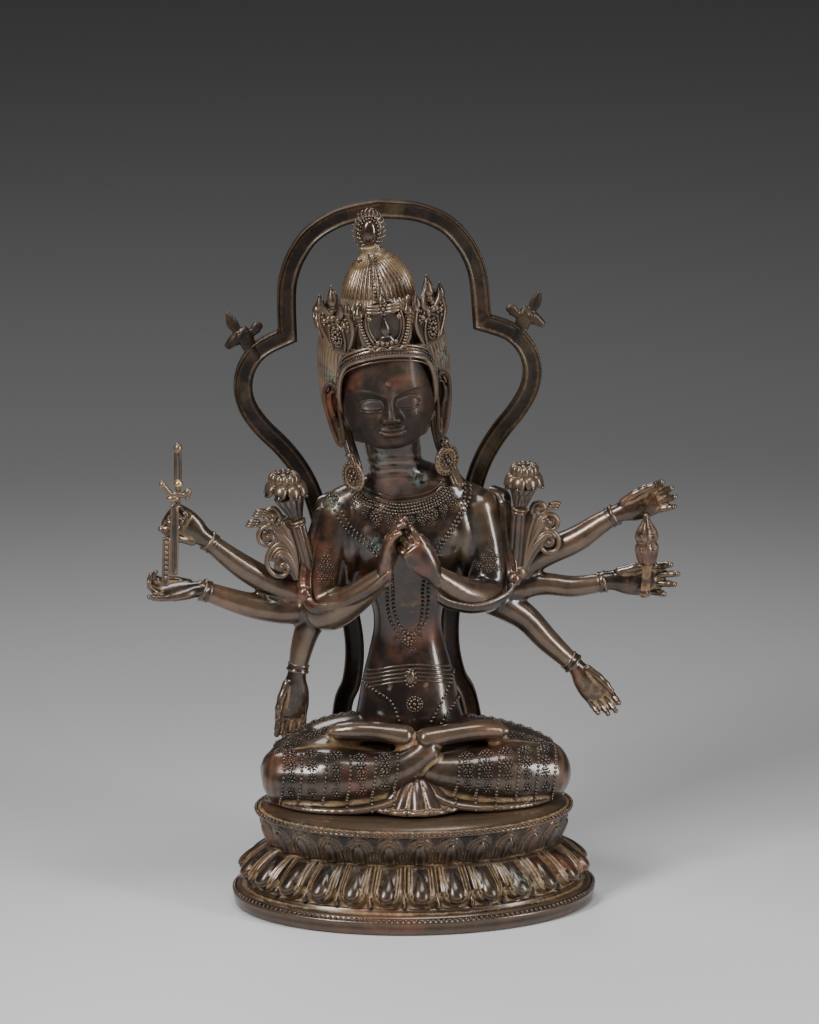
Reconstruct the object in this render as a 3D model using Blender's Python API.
"""A cast bronze eight-armed bodhisattva, seated on a double lotus base before an open mandorla frame.

The front faces -Y and +Z is up. The origin is the middle of the base's underside.
Lengths are millimetres until solid() turns them into metres. The figure is laid out in parts of its
own height, with its zero on the seat, and every free form on it keeps its place as such parts.
"""
import math

import bmesh
import bpy
from mathutils import Matrix, Vector

MM = 0.001

# Driving dimensions, in millimetres
FIGURE_HEIGHT = 305.0
SEAT_HEIGHT = 54.0
SEAT_RISE = 5.0
BASE_SIDE_MARGIN = 12.0
BASE_REAR_MARGIN = 21.3
RIM_INSET = 11.0
FLANGE_HEIGHT = 9.8
WAIST_HEIGHT = 31.0
PETAL_BULGE = 7.0
PETAL_COUNT = 26
FRAME_HEIGHT = 298.0
FRAME_BAND = 8.2
FRAME_THICKNESS = 4.5
FRAME_LEAN = math.radians(3.0)
HEAD_ROLL = math.radians(5.0)
STAFF_RADIUS = 1.3
SCEPTRE_GRIP_RADIUS = 2.3
REST_GAP = 0.3
HOLD_GAP = 0.35

# Canon: how many parts the figure and the frame are divided into
FIGURE_PARTS = 305.0
FRAME_PARTS = 298.0
PART = FIGURE_HEIGHT / FIGURE_PARTS
BACK_DEPTH = 35.2 * PART
KNEE_REACH = 79.0 * PART
FRAME_SHIFT = -7.5 * PART
FRAME_PIVOT = 150.0 * PART

# Mesh fineness of the figure: voxel of the union, and the share of its faces that is kept
UNION_VOXEL = 0.95 * PART
UNION_KEEP = 0.0125
LIMB_SIDES = 14


def clear_scene():
    for obj in list(bpy.data.objects):
        bpy.data.objects.remove(obj)


def bronze(name, colour, roughness, metallic):
    material = bpy.data.materials.new(name)
    material.use_nodes = True
    shader = material.node_tree.nodes["Principled BSDF"]
    shader.inputs["Base Color"].default_value = (*colour, 1.0)
    shader.inputs["Roughness"].default_value = roughness
    shader.inputs["Metallic"].default_value = metallic
    return material


def solid(name, mesh, material=None, scale=1.0, lift=0.0):
    """Makes the object of a mesh drawn in millimetres or parts: scaled, lifted and turned into metres."""
    data = bpy.data.meshes.new(name)
    bmesh.ops.recalc_face_normals(mesh, faces=mesh.faces)
    mesh.to_mesh(data)
    mesh.free()
    data.transform(Matrix.Scale(scale, 4))
    data.transform(Matrix.Translation((0.0, 0.0, lift)))
    data.transform(Matrix.Scale(MM, 4))
    obj = bpy.data.objects.new(name, data)
    bpy.context.scene.collection.objects.link(obj)
    if material:
        data.materials.append(material)
    return obj


def cutter(obj):
    obj.hide_render = True
    obj.display_type = "WIRE"
    return obj


def boolean(obj, other, operation):
    modifier = obj.modifiers.new(other.name, "BOOLEAN")
    modifier.operation = operation
    modifier.object = cutter(other)


def smooth_rows(stations, steps):
    """Rows read from a Catmull-Rom curve through the stations, whatever each station's numbers stand for."""
    rows = []
    last = len(stations) - 1
    for i in range(last):
        before, start = stations[max(i - 1, 0)], stations[i]
        end, after = stations[i + 1], stations[min(i + 2, last)]
        for k in range(steps):
            t = k / steps
            rows.append(tuple(
                0.5 * (2 * b + (c - a) * t + (2 * a - 5 * b + 4 * c - d) * t**2 + (3 * b - a - 3 * c + d) * t**3)
                for a, b, c, d in zip(before, start, end, after)
            ))
    return rows + [tuple(stations[last])]


def add_skin(mesh, rings, first, last):
    """Closes a run of rings into a skin, with a fan of faces at the first and the last point."""
    sides = len(rings[0])
    verts = [[mesh.verts.new(point) for point in ring] for ring in rings]
    for low, high in zip(verts, verts[1:]):
        for k in range(sides):
            j = (k + 1) % sides
            mesh.faces.new((low[k], low[j], high[j], high[k]))
    for ring, point, turned in ((verts[0], first, True), (verts[-1], last, False)):
        tip = mesh.verts.new(point)
        for k in range(sides):
            j = (k + 1) % sides
            mesh.faces.new((ring[j], ring[k], tip) if turned else (ring[k], ring[j], tip))


def add_loft(mesh, stations, side=(1.0, 0.0, 0.0), steps=3, sides=LIMB_SIDES, cap=0.8):
    """A round-ended limb through stations (x, y, z, half width, half depth). Widths lie along side."""
    rows = smooth_rows([s if len(s) == 5 else (*s, s[3]) for s in stations], steps)
    points = [Vector(row[:3]) for row in rows]
    side = Vector(side)
    rings = []
    cap_angles = (math.radians(75), math.radians(40))

    def ring(centre, across, through, half_width, half_depth):
        return [
            centre
            + across * (half_width * math.cos(2 * math.pi * k / sides))
            + through * (half_depth * math.sin(2 * math.pi * k / sides))
            for k in range(sides)
        ]

    frames = []
    for i in range(len(rows)):
        tangent = (points[min(i + 1, len(rows) - 1)] - points[max(i - 1, 0)]).normalized()
        across = (side - tangent * side.dot(tangent)).normalized()
        frames.append((tangent, across, tangent.cross(across)))
    ends = []
    for index, sign in ((0, -1.0), (-1, 1.0)):
        tangent, across, through = frames[index]
        half_width, half_depth = rows[index][3:5]
        reach = cap * min(half_width, half_depth)
        shells = [
            ring(points[index] + tangent * (sign * reach * math.sin(a)), across, through,
                 half_width * math.cos(a), half_depth * math.cos(a))
            for a in cap_angles
        ]
        ends.append((shells, points[index] + tangent * (sign * reach)))
    rings += ends[0][0]
    rings += [
        ring(p, across, through, row[3], row[4])
        for p, row, (_, across, through) in zip(points, rows, frames)
    ]
    rings += reversed(ends[1][0])
    add_skin(mesh, rings, ends[0][1], ends[1][1])


def add_ball(mesh, centre, radius):
    matrix = Matrix.Translation(centre) @ Matrix.Scale(radius, 4)
    bmesh.ops.create_icosphere(mesh, subdivisions=2, radius=1.0, matrix=matrix)


# The figure's trunk, head and dress


TRUNK = [
    (-1.0, 15.5, 8.0, 34.0, 18.5),
    (-1.0, 15.5, 24.0, 31.0, 18.5),
    (-1.5, 16.0, 42.0, 26.0, 17.5),
    (-1.6, 16.5, 58.0, 23.0, 15.5),
    (-1.8, 17.0, 72.0, 19.5, 13.5),
    (-2.0, 17.0, 85.0, 17.0, 12.5),
    (-2.0, 17.0, 97.0, 18.5, 13.5),
    (-2.3, 16.5, 112.0, 24.5, 15.5),
    (-2.8, 16.0, 128.0, 30.0, 17.5),
    (-2.2, 15.5, 142.0, 34.0, 15.5),
    (-2.6, 15.5, 153.0, 31.0, 12.5),
    (-5.0, 15.0, 160.0, 20.5, 11.5),
    (-7.6, 14.5, 167.0, 14.2, 11.5),
    (-9.6, 13.0, 178.0, 14.0, 12.0),
    (-11.4, 11.0, 190.0, 14.5, 13.0),
]

# How far the trunk is filled out at each side, from its middle line: shoulder, armpit and the extra arms' root
TRUNK_MIDDLE = -2.2
TRUNK_SIDES = (
    [(8.5, 15.0, 160.0, 7.0), (20.0, 15.5, 155.0, 8.2), (32.0, 15.5, 148.5, 9.6)],
    [(22.0, 13.5, 148.0, 10.5), (26.0, 13.0, 132.0, 10.5), (28.0, 15.0, 116.0, 8.0), (27.0, 17.0, 104.0, 5.0)],
    [(22.0, 19.0, 122.0, 10.0), (34.0, 19.0, 112.0, 11.0), (43.0, 17.5, 101.0, 9.5)],
)


def add_trunk(mesh):
    add_loft(mesh, TRUNK, sides=24)
    for sign in (-1.0, 1.0):
        for side in TRUNK_SIDES:
            add_loft(mesh, [(TRUNK_MIDDLE + sign * x, *rest) for x, *rest in side])


# The head leans to one side, about a pivot between the eyes
HEAD_X = -13.3
HEAD_PIVOT = 212.0


def rolled(x, y, z, *sizes):
    """Where a point of the upright head stands when the head leans."""
    across, high = x - HEAD_X, z - HEAD_PIVOT
    return (HEAD_X + across * math.cos(HEAD_ROLL) - high * math.sin(HEAD_ROLL), y,
            HEAD_PIVOT + high * math.cos(HEAD_ROLL) + across * math.sin(HEAD_ROLL), *sizes)


FACE = [
    (HEAD_X, -4.5, 188.0, 11.0, 9.5),
    (HEAD_X, -1.0, 192.5, 17.0, 15.5),
    (HEAD_X, 1.5, 199.0, 21.0, 18.5),
    (HEAD_X, 3.0, 210.0, 23.2, 20.5),
    (HEAD_X, 3.5, 224.0, 23.4, 20.5),
    (HEAD_X, 4.0, 240.0, 22.0, 19.5),
]
HAIR = [
    (HEAD_X, 20.0, 185.0, 20.0, 8.0),
    (HEAD_X, 19.0, 193.0, 28.0, 12.0),
    (HEAD_X, 17.5, 201.0, 31.5, 15.5),
    (HEAD_X, 15.0, 212.0, 32.5, 19.5),
    (HEAD_X, 12.5, 226.0, 32.5, 22.5),
    (HEAD_X - 0.5, 9.5, 240.0, 30.5, 24.5),
    (HEAD_X - 1.0, 10.0, 249.0, 23.0, 20.0),
]
CHIGNON = [
    (-15.5, 12.0, 244.0, 17.5, 17.5),
    (-16.6, 13.0, 256.0, 18.4, 18.0),
    (-17.6, 13.6, 266.0, 17.0, 16.5),
    (-19.2, 14.0, 274.5, 12.0, 12.0),
    (-20.6, 14.0, 279.5, 6.2, 6.2),
    (-21.2, 14.0, 283.0, 5.0, 4.6),
]
CROWN_BAND = [(-22.8, 1.0, 206.0), (-23.2, -6.0, 222.0), (-20.5, -12.0, 234.0), (0.0, -19.0, 239.5)]
CROWN_LEAF_ANGLES = (-100, -52, 0, 50, 98)
CROWN_LEAF_TALL = (19.0, 33.0, 29.0, 34.0, 20.0)
CROWN_SWAY = -3.3
CROWN_CENTRE = (HEAD_X - 2.0, 9.0, 238.0)
CROWN_HALF = (28.5, 28.0)


def add_crown(mesh):
    """The diadem that frames the forehead, and five upright leaves that lean outwards."""
    half = [rolled(HEAD_X + x, y, z, 3.2, 2.6) for x, y, z in CROWN_BAND]
    other = [rolled(HEAD_X - x, y, z, 3.2, 2.6) for x, y, z in CROWN_BAND[-2::-1]]
    add_loft(mesh, half + other, side=(0.0, 1.0, 0.2), steps=3, sides=8)
    for degrees, tall in zip(CROWN_LEAF_ANGLES, CROWN_LEAF_TALL):
        angle = math.radians(degrees)
        out = Vector((math.sin(angle), -math.cos(angle), 0.0))
        rise = CROWN_HALF[0] * out.x * math.tan(HEAD_ROLL)
        foot = Vector(CROWN_CENTRE) + Vector((CROWN_HALF[0] * out.x, CROWN_HALF[1] * out.y, rise))
        along = Vector((math.cos(angle), math.sin(angle), 0.0))
        profile = ((0.0, 6.0), (0.2, 10.5), (0.42, 12.5), (0.62, 10.5), (0.8, 5.0), (1.0, 2.2))
        leaf = []
        for share, half_width in profile:
            point = foot + Vector((CROWN_SWAY * share, 0.0, share * tall)) + out * (2.0 * share)
            leaf.append((*point, half_width, 2.0))
        add_loft(mesh, leaf, side=along, steps=2, sides=10)
        for sign in (-1.0, 1.0):
            spire = foot + along * (sign * 9.5) + out * 2.5 + Vector((0.0, 0.0, 0.62 * tall))
            add_loft(mesh, [(*spire, 2.2), (*(spire + Vector((0.0, 0.0, 6.0))), 1.3)], sides=6, steps=1)


def add_head(mesh):
    add_loft(mesh, [rolled(*station) for station in FACE], sides=20)
    add_loft(mesh, [rolled(*station) for station in HAIR], sides=20)
    add_loft(mesh, CHIGNON, sides=20)
    # Nose, brows and mouth of a plain canon face
    nose = [(HEAD_X, -15.5, 218.0, 1.8, 1.8), (HEAD_X, -17.6, 210.0, 2.4, 2.2), (HEAD_X, -18.4, 203.5, 3.4, 2.6)]
    mouth = [(HEAD_X - 4.0, -14.4, 196.8, 2.4, 2.4), (HEAD_X, -15.4, 196.6, 3.0, 3.0), (HEAD_X + 4.0, -14.4, 196.8, 2.4, 2.4)]
    add_loft(mesh, [rolled(*station) for station in nose], sides=8, steps=2)
    add_loft(mesh, [rolled(*station) for station in mouth], side=(0, 0, 1), sides=6, steps=2)
    for sign in (-1.0, 1.0):
        ear = [(HEAD_X + sign * x, y, z, 2.6, 4.6) for x, y, z in ((24.0, 4, 215), (25.2, 2, 205), (23.6, 1, 190))]
        add_loft(mesh, [rolled(*station) for station in ear], sides=8, steps=2)
    add_crown(mesh)
    # Flaming jewel on the chignon's neck
    add_loft(mesh, [(-21.4, 14.0, 284.0, 3.6, 2.6), (-22.0, 13.5, 289.0, 8.6, 2.6), (-22.2, 13.0, 296.0, 9.2, 2.6),
                    (-22.2, 13.0, 302.0, 6.0, 2.2)], sides=12, steps=2)
    add_loft(mesh, [(-22.0, 11.5, 288.0, 2.4), (-22.1, 11.2, 292.0, 3.8), (-22.2, 11.2, 297.0, 2.6)], sides=8, steps=2)


# Middle of each disc, the way it turns, and its ear's lobe
EARRINGS = (((-30.4, 0.5, 168.0), -0.94, (-34.5, 0.8, 188.0)), ((16.9, 4.0, 174.2), 0.72, (12.2, 1.0, 192.0)))


def add_earrings(mesh):
    for centre, turn, lobe in EARRINGS:
        side = (math.cos(turn), math.sin(turn), 0.0)
        x, y, z = centre
        add_loft(mesh, [(x, y, z - 6.6, 4.2, 1.7), (x, y, z, 7.6, 1.9), (x, y, z + 6.6, 4.2, 1.7)],
                 side=side, sides=10, steps=2)
        add_loft(mesh, [(x, y, z + 7.0, 1.7), ((x + lobe[0]) / 2, (y + lobe[1]) / 2, (z + 7.0 + lobe[2]) / 2, 1.7),
                        (*lobe, 2.4)], sides=6, steps=2)


# Arms: stations from shoulder or branch to wrist, and the hand on each


MAIN_ARM_LEFT = [
    (-35.5, 15.5, 145.0, 11.5), (-41.5, 13.0, 121.0, 10.6), (-45.5, 8.0, 99.0, 9.6),
    (-41.0, 1.0, 97.5, 9.4), (-29.5, -6.5, 107.0, 7.9), (-16.0, -13.5, 120.0, 4.9),
]
MAIN_ARM_RIGHT = [
    (32.5, 15.5, 146.5, 11.5), (37.0, 13.0, 126.0, 10.6), (38.5, 8.0, 107.5, 9.6),
    (34.5, 1.0, 104.5, 9.2), (23.5, -6.5, 109.0, 7.9), (10.5, -13.0, 119.5, 5.0),
]
SIDE_ARMS = {
    "left_upper": [(-44.0, 17.0, 101.0, 8.5), (-58.0, 17.0, 104.0, 7.6), (-72.0, 16.0, 109.5, 6.9),
                   (-86.5, 14.0, 119.0, 6.3), (-103.5, 12.0, 133.5, 4.5)],
    "left_middle": [(-44.0, 16.0, 97.0, 9.0), (-62.0, 15.5, 94.3, 7.4), (-81.5, 13.0, 98.0, 6.4),
                    (-106.5, 10.0, 107.8, 4.7)],
    "left_lower": [(-44.0, 15.0, 98.0, 9.0), (-51.5, 14.0, 86.0, 6.8), (-55.5, 13.0, 74.0, 5.7),
                   (-57.8, 12.0, 62.0, 4.5)],
    "right_upper": [(42.0, 17.0, 105.0, 9.0), (61.5, 17.0, 118.2, 7.3), (81.5, 15.0, 127.8, 6.8),
                    (93.6, 13.5, 136.2, 5.8), (103.0, 12.0, 142.4, 4.6)],
    "right_middle": [(42.0, 16.0, 102.0, 9.0), (63.9, 15.5, 105.2, 6.0), (81.2, 14.0, 103.9, 5.4),
                     (98.5, 12.0, 107.0, 4.5)],
    "right_lower": [(40.0, 15.0, 99.0, 9.0), (56.3, 14.5, 88.6, 7.0), (68.0, 13.5, 76.0, 6.1),
                    (82.0, 13.0, 62.6, 4.5)],
}

# wrist, the way the fingers point, the way the palm faces, thumb side, length, curl and spread of the fingers
HANDS = {
    "teaching_right": ((-15.6, -14.0, 121.0), (4.0, -3.0, 30.0), (1.0, -0.25, 0.0), 1, 33.0, 16, 0),
    "teaching_left": ((10.2, -14.0, 120.5), (-14.0, -5.0, 22.0), (-0.2, 1.0, 0.1), -1, 33.0, 14, 0),
    "left_upper": ((-104.0, 11.5, 134.2), (-20.0, -2.0, 14.5), (-0.1, -1.0, 0.1), -1, 35.0, 48, 2),
    "left_middle": ((-107.5, 9.5, 107.8), (-30.0, -3.0, -1.0), (0.0, -0.3, 1.0), 1, 32.0, 20, 3),
    "left_lower": ((-58.0, 11.5, 61.0), (-4.5, -1.5, -33.0), (0.0, -1.0, -0.1), 1, 34.0, 5, 2),
    "right_upper": ((103.5, 11.5, 142.6), (28.0, -2.0, 12.0), (0.1, -1.0, 0.25), -1, 33.0, 14, 6),
    "right_middle": ((99.5, 11.0, 107.6), (33.0, -2.0, 1.5), (0.0, -1.0, 0.15), -1, 35.5, 10, 7),
    "right_lower": ((82.5, 12.5, 62.0), (17.5, -2.0, -22.5), (0.0, -1.0, 0.1), -1, 31.0, 14, 3),
}
FINGER_LENGTHS = (0.43, 0.49, 0.46, 0.37)


def add_finger(mesh, base, forward, bend_to, length, radius, curl):
    """Three joints that bend one after another towards the palm."""
    axis = forward.cross(bend_to).normalized()
    point, direction = base.copy(), forward.normalized()
    stations = [(*point, radius)]
    for share, thickness in ((0.42, 0.98), (0.33, 0.9), (0.25, 0.78)):
        direction = Matrix.Rotation(math.radians(curl), 3, axis) @ direction
        point = point + direction * (length * share)
        stations.append((*point, radius * thickness))
    add_loft(mesh, stations, side=axis, steps=2, sides=6)


def add_hand(mesh, wrist, forward, palm, thumb, length, curl, spread):
    forward = Vector(forward).normalized()
    palm = Vector(palm)
    palm = (palm - forward * palm.dot(forward)).normalized()
    side = forward.cross(palm) * thumb
    wrist = Vector(wrist)
    profile = ((-0.08, 0.13, 0.12), (0.1, 0.17, 0.12), (0.3, 0.225, 0.11), (0.5, 0.22, 0.085))
    stations = [(*(wrist + forward * (length * t)), w * length, d * length) for t, w, d in profile]
    add_loft(mesh, stations, side=side, steps=2, sides=10)
    for k, share in enumerate(FINGER_LENGTHS):
        base = wrist + forward * (length * 0.47) + side * (length * (0.16 - 0.106 * k))
        fan = Matrix.Rotation(math.radians(spread * (1.5 - k)), 3, forward.cross(side))
        add_finger(mesh, base, fan @ forward, palm, length * share, length * 0.055, curl)
    base = wrist + forward * (length * 0.14) + side * (length * 0.12) + palm * (length * 0.03)
    add_finger(mesh, base, forward * 0.8 + side * 0.6 + palm * 0.25, forward - side * 0.4, length * 0.44,
               length * 0.058, 12)


def add_arms(mesh):
    for stations in (MAIN_ARM_LEFT, MAIN_ARM_RIGHT):
        add_loft(mesh, stations, side=(0.0, 1.0, 0.3))
    for stations in SIDE_ARMS.values():
        add_loft(mesh, stations, side=(0.0, 1.0, 0.2))
    for settings in HANDS.values():
        add_hand(mesh, *settings)


# Legs crossed in the lotus seat, with the hem and the pleated fan of cloth before them


THIGHS = (
    [(-14.0, 12.5, 20.0, 21.0), (-38.0, 10.0, 19.5, 20.0), (-56.0, 2.5, 16.5, 17.0), (-65.0, -3.0, 14.0, 14.0)],
    [(14.0, 12.5, 19.0, 20.5), (38.0, 10.0, 18.5, 18.0), (56.0, 2.5, 16.0, 16.0), (65.5, -3.0, 14.0, 14.0)],
)
FRONT_SHIN = [(-65.0, -5.0, 13.5, 14.5), (-43.0, -12.5, 15.0, 15.5), (-21.0, -17.5, 17.5, 12.0),
              (-6.0, -20.0, 22.5, 8.6), (6.0, -19.0, 31.0, 6.6)]
REAR_SHIN = [(66.5, -5.0, 13.5, 14.5), (44.0, -12.0, 15.0, 15.5), (23.0, -16.5, 17.0, 12.0),
             (7.0, -17.5, 20.5, 8.2), (-5.0, -14.0, 30.0, 6.0)]
FRONT_FOOT = [(4.0, -18.5, 35.5, 6.4, 6.0), (18.0, -15.0, 37.2, 6.8, 5.2), (32.0, -11.0, 37.2, 8.2, 4.4),
              (43.0, -8.0, 35.6, 7.4, 3.6)]
REAR_FOOT = [(-5.0, -15.0, 36.5, 6.4, 5.8), (-17.0, -13.0, 38.2, 6.6, 5.0), (-30.0, -11.0, 38.4, 8.0, 4.2),
             (-40.0, -8.5, 37.0, 7.2, 3.4)]
HEM = [(-71.0, -2.0, 1.6, 6.0, 2.6), (-54.0, -17.0, 1.8, 8.0, 2.6), (-33.0, -23.5, 2.4, 8.0, 2.8),
       (-17.0, -24.5, 4.5, 7.0, 3.2), (-8.0, -23.0, 8.0, 6.0, 3.6)]
FAN = [(1.0, -22.0, 17.0, 7.0, 3.4), (0.5, -26.5, 12.5, 12.0, 3.2), (0.0, -30.5, 7.0, 17.0, 3.0),
       (-0.5, -33.5, 2.0, 19.5, 2.8)]
FAN_CENTRE = (-0.5, -19.0)
FAN_REACH = (22.5, 17.4)
FAN_PLEATS = 5
FAN_SWEEP = math.radians(132.0)


def add_legs(mesh):
    for thigh in THIGHS:
        add_loft(mesh, thigh, side=(0.0, 0.0, 1.0), sides=18)
    for sign in (-1.0, 1.0):
        add_loft(mesh, [(sign * x, *rest) for x, *rest in HEM], side=(0.0, 1.0, 0.0), sides=8)
    add_loft(mesh, FRONT_SHIN, side=(0.0, 0.0, 1.0), sides=18)
    add_loft(mesh, REAR_SHIN, side=(0.0, 0.0, 1.0), sides=18)
    for foot in (FRONT_FOOT, REAR_FOOT):
        add_loft(mesh, foot, side=(0.0, 1.0, -0.35), sides=12)
        toes = Vector(foot[-1][:3])
        heading = (toes - Vector(foot[-2][:3])).normalized()
        for k in range(5):
            base = toes + Vector((0.0, 2.8 * (k - 2), -1.0 * (k - 2)))
            add_loft(mesh, [(*base, 2.0), (*(base + heading * (4.4 - 0.5 * k)), 1.7)], side=(0, 1, 0), steps=1, sides=6)
    add_loft(mesh, FAN, side=(1.0, 0.0, 0.0), sides=14)
    for k in range(FAN_PLEATS):
        rolled_end = []
        for turn in (-0.32, 0.0, 0.32):
            angle = FAN_SWEEP * ((k + 0.5 + turn) / FAN_PLEATS - 0.5)
            reach = 1.0 + 0.06 * (1.0 - (turn / 0.32) ** 2)
            rolled_end.append((FAN_CENTRE[0] + FAN_REACH[0] * reach * math.sin(angle),
                               FAN_CENTRE[1] - FAN_REACH[1] * reach * math.cos(angle), 2.6, 1.7))
        add_loft(mesh, rolled_end, side=(0, 0, 1), steps=2, sides=8)


# Scarf, and the two lotuses that rise beside the shoulders


SCARF_LEFT = [(-45.5, 11.0, 148.0), (-50.8, 8.0, 130.0), (-54.0, 4.0, 112.0), (-51.0, -3.0, 101.5),
              (-38.5, -9.5, 103.5), (-30.0, -14.0, 108.5), (-21.5, -18.0, 114.5), (-12.5, -19.5, 123.0)]
SCARF_RIGHT = [(46.5, 11.0, 149.5), (47.2, 8.0, 131.0), (49.5, 4.0, 116.0), (47.5, -2.5, 106.5),
               (39.0, -8.0, 102.5), (28.5, -12.0, 101.8), (17.0, -14.6, 105.6)]
LOTUSES = (
    ([(-52.5, 8.0, 104.0), (-53.4, 7.0, 124.0), (-55.5, 6.0, 138.0), (-58.0, 6.0, 143.5)],
     [(-60.0, 6.0, 147.5), (-64.0, 6.0, 157.0)], (-65.0, 6.0, 162.0), (-63.5, 6.0, 166.0),
     ((-70.0, 143.5), (-75.6, 134.0), (-69.5, 117.0)), -1.0),
    ([(50.0, 8.0, 108.0), (52.8, 7.0, 125.0), (53.2, 6.5, 138.0), (53.4, 6.0, 147.5)],
     [(53.8, 6.0, 151.5), (55.2, 6.0, 161.0)], (55.6, 6.0, 164.0), (56.4, 6.0, 169.0),
     ((62.8, 148.0), (70.0, 141.5), (69.5, 126.0)), 1.0),
)


def add_scarf(mesh):
    for path in (SCARF_LEFT, SCARF_RIGHT):
        add_loft(mesh, [(*point, 1.5, 3.2) for point in path], side=(0.15, -0.6, 0.8), steps=3, sides=8)


def add_lotus(mesh, stem, cup, skirt, bloom, volutes, outward):
    add_loft(mesh, [(*point, 2.8) for point in stem], sides=8)
    add_loft(mesh, [(*cup[0], 4.2), (*cup[1], 6.6)], sides=10, steps=3)
    for k in range(7):
        angle = 2 * math.pi * k / 7
        out = Vector((math.cos(angle), math.sin(angle), 0.0))
        inner = Vector(skirt) + out * 5.0
        outer = Vector(skirt) + out * 8.4 - Vector((0.0, 0.0, 4.0))
        add_loft(mesh, [(*inner, 3.0), (*outer, 2.4)], side=(0.1, 0.2, 1.0), sides=6, steps=1)
    x, y, z = bloom
    add_loft(mesh, [(x, y, z - 4.5, 5.0), (x, y, z - 0.5, 7.6), (x, y, z + 1.2, 7.2)], sides=12, steps=2, cap=0.2)
    root = Vector((stem[0][0] + outward * 3.0, 8.0, stem[0][2] + 6.0))
    for vx, vz in volutes:
        tip = Vector((vx, 8.0, vz))
        middle = root.lerp(tip, 0.55) + Vector((-outward * 2.5, 0.0, 4.0))
        add_loft(mesh, [(*root, 3.0, 2.0), (*middle, 4.4, 2.0), (*tip, 4.2, 2.2)], side=(outward, 0.0, -0.4), steps=3,
                 sides=8)
        add_ball(mesh, tip + Vector((0.0, -0.6, 0.0)), 3.6)


# What the hands hold, as stations (x, y, z, half width, half depth)


def staff_stations(grow):
    radius = STAFF_RADIUS / PART
    return [(x, y, z, w + grow, d + grow) for x, y, z, w, d in (
        (-117.6, 1.5, 187.0, 1.2, 1.2), (-117.6, 1.5, 185.0, 2.6, 2.6), (-117.6, 1.5, 182.0, 1.5, 1.5),
        (-117.6, 1.5, 178.0, radius, radius), (-117.5, 1.5, 170.0, radius, radius),
        (-117.4, 1.5, 166.0, 3.0, 3.0), (-117.6, 1.5, 162.5, radius, radius),
        (-118.4, 1.5, 157.0, radius, radius), (-119.4, 1.5, 154.0, 2.3, 1.5),
        (-119.6, 1.5, 140.0, 2.3, 1.5), (-121.4, 1.5, 136.0, 4.1, 1.5),
        (-121.6, 1.5, 122.0, 4.1, 1.5), (-123.6, 1.5, 118.0, 2.0, 1.5), (-123.8, 1.5, 112.5, 2.0, 1.5),
    )]


def sceptre_stations(grow):
    grip = SCEPTRE_GRIP_RADIUS / PART
    return [(x, y, z, w + grow, d + grow) for x, y, z, w, d in (
        (117.0, 2.0, 144.5, 0.7, 0.7), (117.0, 2.0, 139.0, 3.2, 2.2), (117.0, 2.0, 134.5, 5.2, 3.2),
        (117.0, 2.0, 130.5, 5.9, 3.4), (117.0, 2.0, 127.6, 4.6, 2.8), (117.0, 2.0, 124.0, 5.9, 3.4),
        (116.9, 2.0, 119.6, 4.6, 2.9), (116.7, 2.0, 117.0, 3.0, 2.6), (116.2, 2.0, 110.0, grip, grip),
        (115.6, 2.0, 104.0, grip, grip), (115.4, 2.0, 102.2, 2.8, 2.8),
    )]


def held(name, stations, material=None):
    mesh = bmesh.new()
    add_loft(mesh, stations, steps=1, sides=8, cap=0.6)
    return solid(name, mesh, material, PART, SEAT_HEIGHT)


def ground_cutter(name, top):
    """A block that takes away what lies below a height, so that what rests there is flat."""
    half = 3.0 * KNEE_REACH
    mesh = bmesh.new()
    bmesh.ops.create_cube(mesh, size=2.0, matrix=Matrix.Diagonal((half, half, half, 1.0)))
    obj = solid(name, mesh)
    obj.data.transform(Matrix.Translation((0.0, 0.0, (top - half) * MM)))
    return obj


def make_figure(material):
    mesh = bmesh.new()
    add_trunk(mesh)
    add_head(mesh)
    add_earrings(mesh)
    add_arms(mesh)
    add_legs(mesh)
    add_scarf(mesh)
    for lotus in LOTUSES:
        add_lotus(mesh, *lotus)
    figure = solid("figure", mesh, material, PART, SEAT_HEIGHT)
    union = figure.modifiers.new("cast_as_one", "REMESH")
    union.mode = "VOXEL"
    union.voxel_size = UNION_VOXEL * MM
    fewer = figure.modifiers.new("fewer_faces", "DECIMATE")
    fewer.ratio = UNION_KEEP
    boolean(figure, ground_cutter("seat_level", SEAT_HEIGHT + REST_GAP), "DIFFERENCE")
    grow = HOLD_GAP / PART
    boolean(figure, held("staff_room", staff_stations(grow)), "DIFFERENCE")
    boolean(figure, held("sceptre_room", sceptre_stations(grow)), "DIFFERENCE")
    return figure


# Lotus base


def base_halves():
    """Half width and half depth of the base's foot, from the knees and from the frame behind the figure."""
    return KNEE_REACH + BASE_SIDE_MARGIN, BACK_DEPTH + FRAME_THICKNESS + BASE_REAR_MARGIN


def even_angles(half_width, half_depth, count):
    """Angles round an oval, from the front, whose points are evenly spaced along it."""
    fine = 2000
    angles = [2 * math.pi * k / fine for k in range(fine + 1)]
    lengths = [0.0]
    for before, after in zip(angles, angles[1:]):
        across = half_width * (math.sin(after) - math.sin(before))
        lengths.append(lengths[-1] + math.hypot(across, half_depth * (math.cos(after) - math.cos(before))))
    even, k = [], 0
    for step in range(count):
        wanted = lengths[-1] * step / count
        while lengths[k + 1] < wanted:
            k += 1
        even.append(angles[k] + (angles[k + 1] - angles[k]) * (wanted - lengths[k]) / (lengths[k + 1] - lengths[k]))
    return even


def petal_lift(share, across):
    """How far a petal stands out, from 0 to 1: share runs from its root to its tip, across from -1 to 1."""
    half = 1.0 if share < 0.45 else math.sqrt(max(0.0, 1.0 - ((share - 0.45) / 0.6) ** 2))
    inside = 1.0 - (abs(across) / max(half, 0.05)) ** 2
    return math.sqrt(max(0.0, inside)) * math.sin(math.pi * (0.18 + 0.62 * share))


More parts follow.
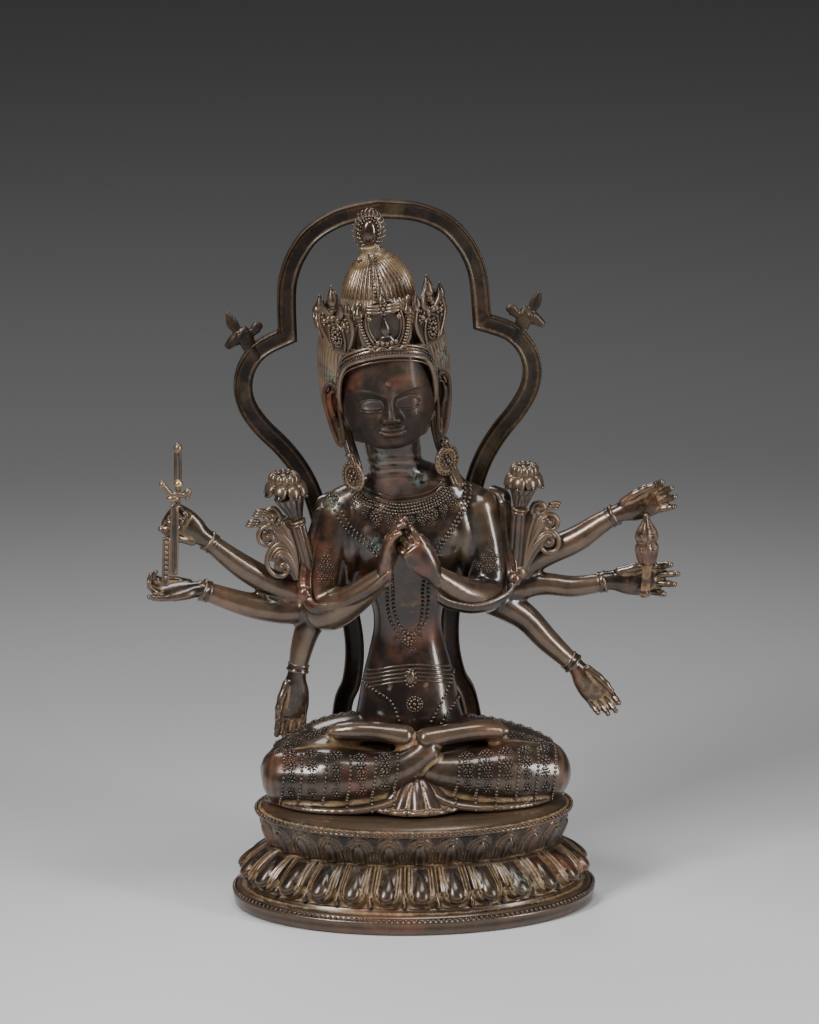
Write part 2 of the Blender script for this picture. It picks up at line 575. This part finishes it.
def make_base(material):
    half_width, half_depth = base_halves()
    waist = RIM_INSET + 9.0
    rim = SEAT_HEIGHT - SEAT_RISE
    low, high = FLANGE_HEIGHT, WAIST_HEIGHT
    # Rows of (inset from the foot's edge, height, petal row, share along the petal)
    rows = [(3.0, 0.0, 0, 0), (0.0, 2.0, 0, 0), (0.0, low - 2.6, 0, 0), (2.4, low - 0.7, 0, 0), (6.0, low, 0, 0),
            (7.6, low + 2.4, 0, 0)]
    for share in (1.0, 0.88, 0.66, 0.36, 0.0):
        inset = 8.0 + (waist - 8.0) * (1 - share) ** 1.7
        rows.append((inset, low + 3.6 + (high - low - 3.6) * (1 - share), 1, share))
    for share in (0.35, 0.7, 1.0):
        inset = waist - (waist - RIM_INSET - 2.5) * share
        rows.append((inset, high + 1.0 + (rim - 3.5 - high) * share, 2, share))
    rows += [(RIM_INSET, rim - 2.0, 0, 0), (RIM_INSET, rim, 0, 0),
             (RIM_INSET + 6.5, SEAT_HEIGHT, 0, 0)]
    samples = 4
    count = PETAL_COUNT * samples
    angles = even_angles(half_width, half_depth, count)
    mesh = bmesh.new()
    rings = []
    for inset, height, petal_row, share in rows:
        ring = []
        for k, angle in enumerate(angles):
            across = ((k + samples / 2) % samples - samples / 2) / (samples / 2)
            out = -inset
            if petal_row:
                out += PETAL_BULGE * (1.0 if petal_row == 1 else 0.55) * petal_lift(share, across)
            reach_x, reach_y = half_width + out, half_depth + out
            ring.append(Vector((reach_x * math.sin(angle), -reach_y * math.cos(angle), height)))
        rings.append(ring)
    add_skin(mesh, rings, Vector((0.0, 0.0, 0.0)), Vector((0.0, 0.0, SEAT_HEIGHT)))
    return solid("lotus_base", mesh, material)


# Mandorla frame: half of its centreline, as (half width, height) in parts, with sharp corners where runs meet


FRAME_RUNS = (
    [(38.0, -6.0), (35.5, 8.0), (31.5, 38.0), (26.5, 50.0), (24.0, 67.0), (25.4, 86.0), (31.0, 112.0), (36.5, 132.0),
     (40.8, 150.0), (46.5, 163.5), (54.5, 175.5), (64.0, 186.5), (70.6, 197.5), (72.4, 208.4), (69.5, 219.0),
     (62.0, 227.5), (48.7, 233.3)],
    [(48.7, 233.3), (48.2, 252.6), (46.4, 264.0), (41.6, 275.0), (33.0, 285.5), (18.5, 292.8), (0.0, 295.6)],
)
CORNER = (48.7, 233.3)


def frame_centreline():
    """The whole centreline from one foot to the other, in millimetres, with mitre normals and widths."""
    share = FRAME_HEIGHT / FRAME_PARTS
    half = smooth_rows(FRAME_RUNS[0], 2)[:-1] + smooth_rows(FRAME_RUNS[1], 2)
    points = [Vector((u * share, v * share)) for u, v in half]
    points += [Vector((-p.x, p.y)) for p in reversed(points[:-1])]
    rows = []
    for i, point in enumerate(points):
        before = (point - points[max(i - 1, 0)]).normalized() if i else (points[1] - point).normalized()
        after = (points[i + 1] - point).normalized() if i + 1 < len(points) else before
        tangent = (before + after).normalized()
        mitre = 1.0 / max(0.5, math.sqrt(0.5 * (1.0 + before.dot(after))))
        rows.append((point, Vector((tangent.y, -tangent.x)), mitre))
    return rows


def frame_matrix():
    """Leans the frame and stands it just behind the figure's back."""
    back = BACK_DEPTH + REST_GAP + FRAME_THICKNESS / 2
    place = Matrix.Translation((FRAME_SHIFT, back, SEAT_HEIGHT + FRAME_PIVOT))
    return place @ Matrix.Rotation(-FRAME_LEAN, 4, "Y") @ Matrix.Translation((0.0, 0.0, -FRAME_PIVOT))


def add_frame_head(mesh, outward):
    """A small horned animal head on the frame's shoulder, looking outwards."""
    share = FRAME_HEIGHT / FRAME_PARTS

    def at(u, v, r, flat=2.0):
        return (outward * u * share, 0.0, v * share, r, flat)

    side = (0.3, 0.0, 1.0)
    add_loft(mesh, [at(65.0, 222.0, 3.5), at(68.5, 231.0, 3.8), at(70.5, 236.5, 4.6)], steps=2, sides=8)
    add_loft(mesh, [at(69.0, 237.0, 4.4, 2.4), at(75.5, 233.5, 3.4, 2.2), at(80.5, 229.5, 2.0, 1.6)], side=side, steps=2,
             sides=8)
    add_loft(mesh, [at(74.0, 238.0, 1.8, 1.5), at(77.5, 243.5, 3.0, 1.6), at(79.5, 249.5, 1.5, 1.2)], steps=2, sides=8)
    add_loft(mesh, [at(66.0, 236.5, 2.2, 1.6), at(62.0, 240.0, 3.0, 1.6)], side=side, steps=2, sides=8)


def make_frame(material):
    band, deep = FRAME_BAND / 2, FRAME_THICKNESS / 2
    section = ((-band, -deep * 0.6), (-band * 0.85, -deep), (band * 0.72, -deep), (band, -deep * 0.35), (band, deep),
               (-band, deep))
    rings = [
        [Vector((p.x + n.x * wide * mitre, y, p.y + n.y * wide * mitre)) for wide, y in section]
        for p, n, mitre in frame_centreline()
    ]
    centres = [sum(ring, Vector()) / len(ring) for ring in (rings[0], rings[-1])]
    mesh = bmesh.new()
    add_skin(mesh, rings, *centres)
    frame = solid("mandorla_frame", mesh, material)
    heads = bmesh.new()
    for outward in (-1.0, 1.0):
        add_frame_head(heads, outward)
    heads = solid("frame_heads", heads)
    joined = heads.modifiers.new("cast_as_one", "REMESH")
    joined.mode = "VOXEL"
    joined.voxel_size = 0.7 * MM
    fewer = heads.modifiers.new("fewer_faces", "DECIMATE")
    fewer.ratio = 0.025
    boolean(frame, heads, "UNION")
    to_metres = Matrix.Scale(MM, 4)
    for obj in (frame, heads):
        obj.data.transform(to_metres @ frame_matrix() @ to_metres.inverted())
    boolean(frame, ground_cutter("frame_level", SEAT_HEIGHT + REST_GAP), "DIFFERENCE")
    return frame


def main():
    clear_scene()
    dark = bronze("dark_bronze", (0.085, 0.05, 0.034), 0.36, 0.85)
    base_bronze = bronze("base_bronze", (0.13, 0.078, 0.046), 0.42, 0.8)
    worn = bronze("worn_bronze", (0.32, 0.2, 0.1), 0.3, 0.9)
    make_base(base_bronze)
    make_figure(dark)
    make_frame(dark)
    held("hand_staff", staff_stations(0.0), worn)
    held("hand_sceptre", sceptre_stations(0.0), worn)
    for obj in bpy.data.objects:
        if obj.type == "MESH" and not obj.hide_render:
            obj.data.shade_smooth()
            obj.data.set_sharp_from_angle(angle=math.radians(40))


main()
